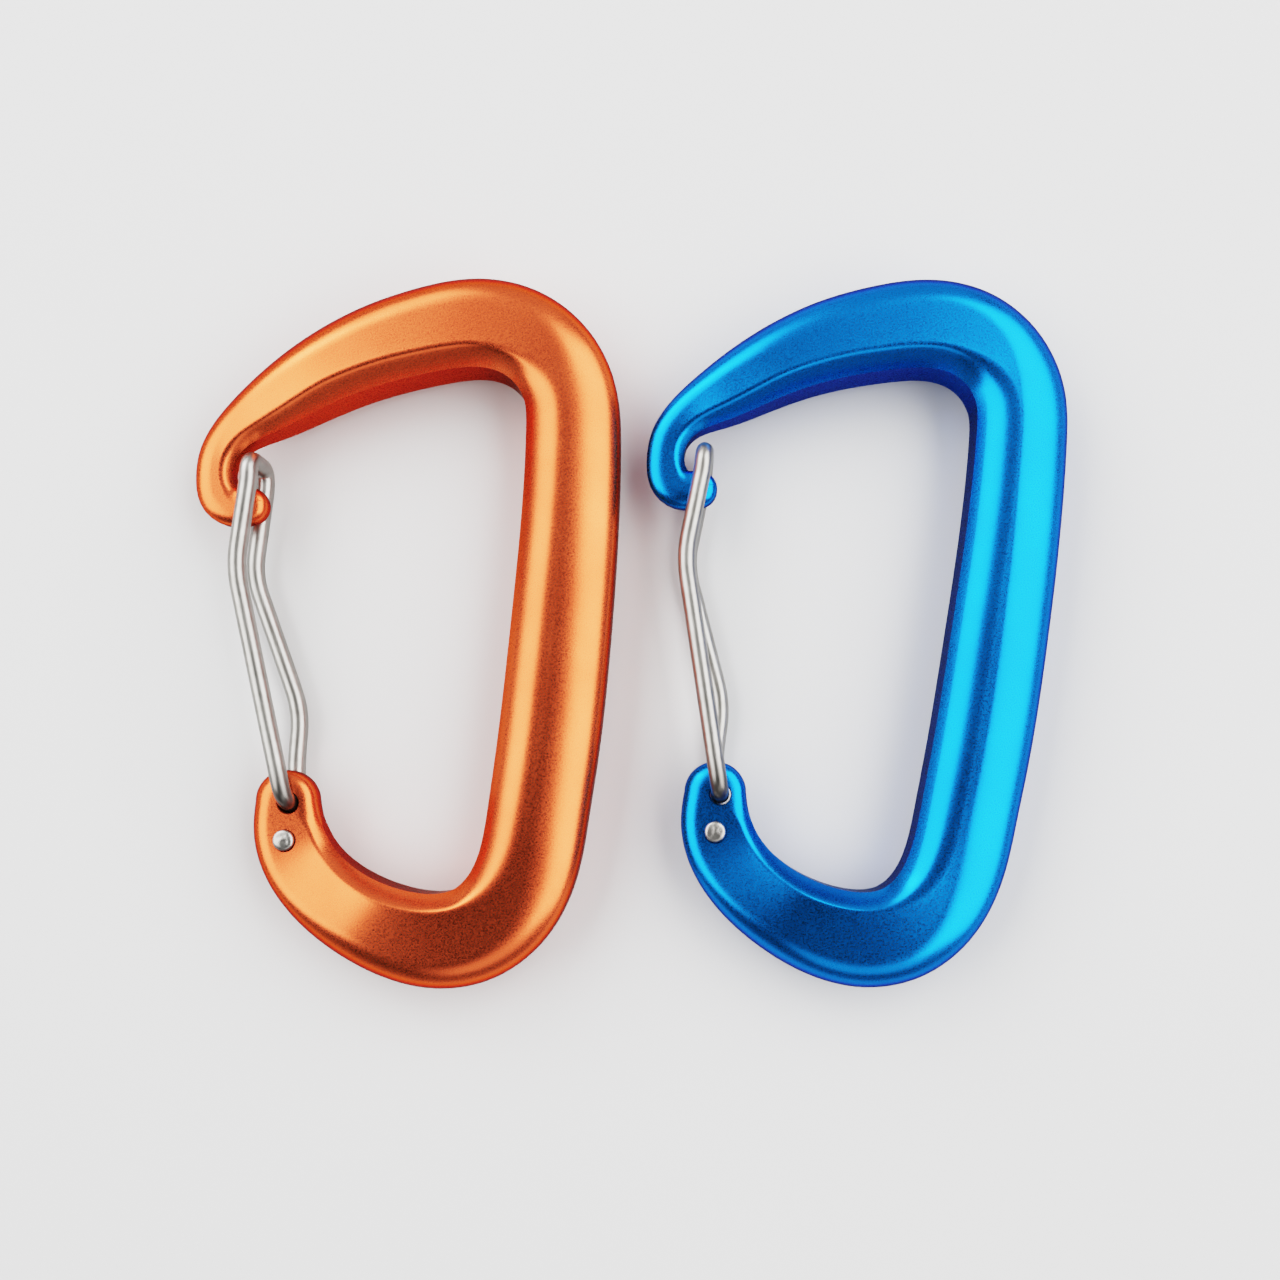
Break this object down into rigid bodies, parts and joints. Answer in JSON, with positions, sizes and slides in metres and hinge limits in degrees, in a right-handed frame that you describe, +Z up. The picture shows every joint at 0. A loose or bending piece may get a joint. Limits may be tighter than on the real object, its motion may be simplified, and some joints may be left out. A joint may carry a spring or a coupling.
{
  "type": "wire-gate carabiner pair",
  "caption": "Matching wire-gate carabiners of a climbing quickdraw, orange and blue: D-shaped forged aluminium frames, each closed by a bent spring-wire gate that opens inwards.",
  "frame": {"origin": "middle of the pair's footprint, on the surface that the pair lies on", "axes": "+X from the orange carabiner to the blue one, +Y from the eye ends to the nose ends, +Z up out of the surface"},
  "size_m": [0.0986, 0.08, 0.009],
  "materials": {
    "orange_anodised": "bead-blasted and anodised, satin",
    "blue_anodised": "bead-blasted and anodised, satin",
    "gate_steel": "drawn stainless spring wire, bright"
  },
  "bodies": {
    "orange_carabiner": {"orange_frame": "orange_anodised"},
    "orange_gate": {"orange_gate_wire": "gate_steel"},
    "orange_wire_foot": {"orange_wire_end": "gate_steel"},
    "blue_carabiner": {"blue_frame": "blue_anodised"},
    "blue_gate": {"blue_gate_wire": "gate_steel"},
    "blue_wire_foot": {"blue_wire_end": "gate_steel"}
  },
  "joints": [
    {"name": "orange_gate_hinge", "type": "hinge", "parent": "orange_carabiner", "child": "orange_gate", "pos_m": [-0.03834, -0.019, 0.0045], "axis": [0, 0, -1], "range_deg": [0, 28], "stiffness_Nm_per_rad": 0.08, "springref_deg": -14.32},
    {"name": "orange_wire_flex", "type": "hinge", "parent": "orange_gate", "child": "orange_wire_foot", "pos_m": [-0.03864, -0.0085, 0.0012], "axis": [0, 0, 1], "range_deg": [0, 8]},
    {"name": "blue_lift", "type": "slide", "parent": "orange_carabiner", "child": "blue_carabiner", "axis": [0, 0, 1], "range_m": [0, 0.03]},
    {"name": "blue_gate_hinge", "type": "hinge", "parent": "blue_carabiner", "child": "blue_gate", "pos_m": [0.01017, -0.01806, 0.0045], "axis": [0, 0, -1], "range_deg": [0, 28], "stiffness_Nm_per_rad": 0.08, "springref_deg": -14.32},
    {"name": "blue_wire_flex", "type": "hinge", "parent": "blue_gate", "child": "blue_wire_foot", "pos_m": [0.01037, -0.00756, 0.0012], "axis": [0, 0, 1], "range_deg": [0, 8]}
  ],
  "couplings": [
    {"joint": "orange_wire_flex", "follows": "orange_gate_hinge", "ratio": 0.285},
    {"joint": "blue_wire_flex", "follows": "blue_gate_hinge", "ratio": 0.285}
  ]
}
